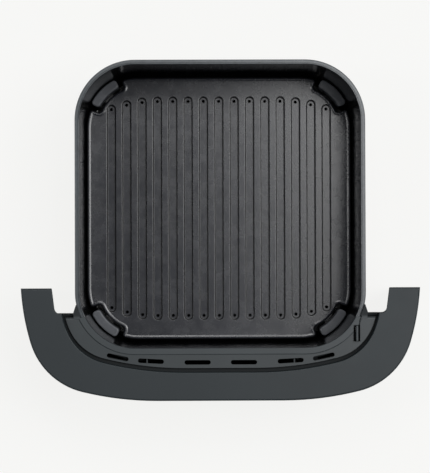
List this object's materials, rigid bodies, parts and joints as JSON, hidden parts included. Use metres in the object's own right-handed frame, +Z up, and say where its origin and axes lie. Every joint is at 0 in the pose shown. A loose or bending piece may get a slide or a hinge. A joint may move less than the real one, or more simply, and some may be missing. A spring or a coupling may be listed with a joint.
{
  "type": "air fryer drawer",
  "caption": "Square non-stick air fryer drawer with a lift-out channelled crisper plate and a wide C-shaped front with a vented collar and a recessed grip.",
  "frame": {"origin": "centre of the footprint, at the height of the surface that the pan's pressed feet stand on", "axes": "+X to the user's right along the drawer's width, +Y from the front panel to the pan's rear, which is the way it slides in, +Z up"},
  "size_m": [0.3112, 0.2668, 0.112],
  "materials": {
    "pan_coating": "semi-gloss black non-stick coating",
    "bracket_steel": "zinc-plated steel, satin",
    "fastener_steel": "zinc-plated steel",
    "shield_steel": "bright rolled steel",
    "plate_coating": "satin dark grey non-stick coating",
    "silicone": "matte grey silicone",
    "panel_plastic": "fine-textured matte slate plastic",
    "cover_plastic": "matte black plastic",
    "grip_plastic": "satin dark plastic",
    "collar_plastic": "satin slate plastic",
    "gasket_silicone": "matte black silicone"
  },
  "bodies": {
    "drawer": {"pan": "pan_coating", "pan_bracket": "bracket_steel", "bracket_studs": "fastener_steel", "bracket_washers": "fastener_steel", "bracket_nuts": "fastener_steel", "heat_shield": "shield_steel", "front_panel": "panel_plastic", "back_cover": "cover_plastic", "grip_cup": "grip_plastic", "collar": "collar_plastic", "collar_gasket": "gasket_silicone", "switch_actuator": "collar_plastic", "panel_screws": "fastener_steel", "grip_screws": "fastener_steel", "collar_screws": "fastener_steel"},
    "plate": {"crisper_plate": "plate_coating", "bumper_front_left": "silicone", "bumper_front_right": "silicone", "bumper_rear_left": "silicone", "bumper_rear_right": "silicone"}
  },
  "joints": [
    {"name": "plate_lift", "type": "slide", "parent": "drawer", "child": "plate", "axis": [0, 0, 1], "range_m": [0, 0.12]}
  ]
}
